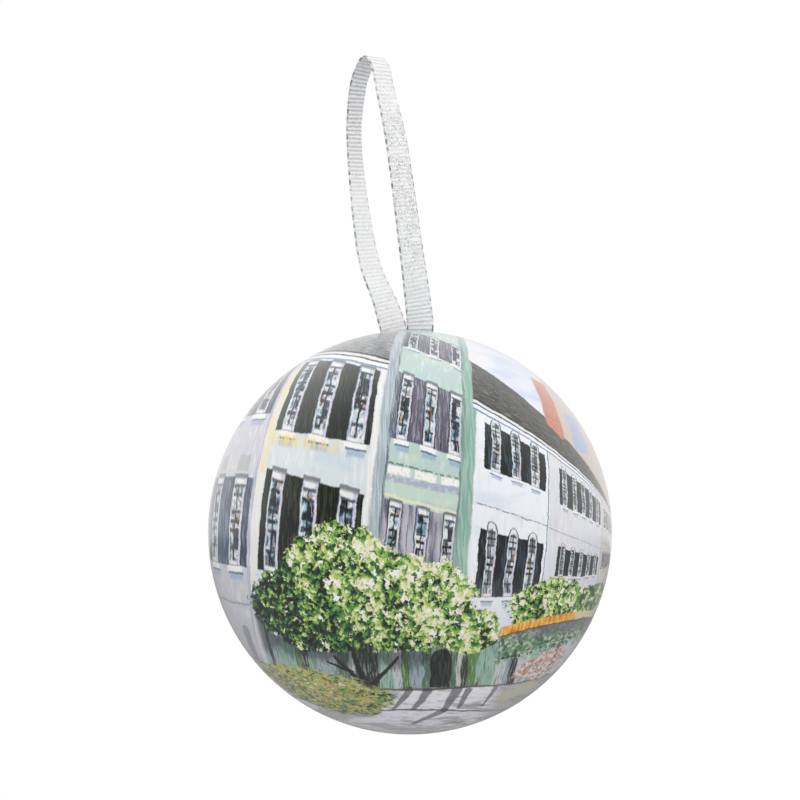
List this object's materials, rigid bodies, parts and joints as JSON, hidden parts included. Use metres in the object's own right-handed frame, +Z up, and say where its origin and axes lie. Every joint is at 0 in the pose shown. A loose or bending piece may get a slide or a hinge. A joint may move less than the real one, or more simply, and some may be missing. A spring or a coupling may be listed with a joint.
{
  "type": "christmas ornament",
  "caption": "Hollow two-part tinplate Christmas ball with a printed street scene, opened by sliding its halves apart and hung on a loop of silver ribbon.",
  "frame": {"origin": "lowest point of the ball, under its centre", "axes": "+Z up towards the ribbon loop, -Y towards the printed front half, +X to the right seen from the front"},
  "size_m": [0.07, 0.07, 0.1178],
  "materials": {
    "printed_tinplate": "printed in pale street-scene colours under gloss varnish, bare tinplate inside and on the neck",
    "silver_ribbon": "silver-white metallic woven ribbon with fine cross ribs"
  },
  "bodies": {
    "loop": {"ribbon_loop": "silver_ribbon"},
    "neck": {"ribbon_leg_front": "silver_ribbon", "ribbon_leg_rear": "silver_ribbon"},
    "back_half": {"back_shell": "printed_tinplate", "ribbon_knot": "silver_ribbon"},
    "front_half": {"front_shell": "printed_tinplate"}
  },
  "joints": [
    {"name": "ribbon_twist", "type": "hinge", "parent": "loop", "child": "neck", "pos_m": [-0.0013, 0.0023, 0.07612], "axis": [0, 0, 1], "range_deg": [-180, 180]},
    {"name": "ball_swing", "type": "hinge", "parent": "neck", "child": "back_half", "pos_m": [0, 0.0023, 0.07112], "axis": [1, 0, 0], "range_deg": [-70, 70]},
    {"name": "front_shell_pull", "type": "slide", "parent": "back_half", "child": "front_half", "axis": [0, -1, 0], "range_m": [0, 0.045]}
  ]
}
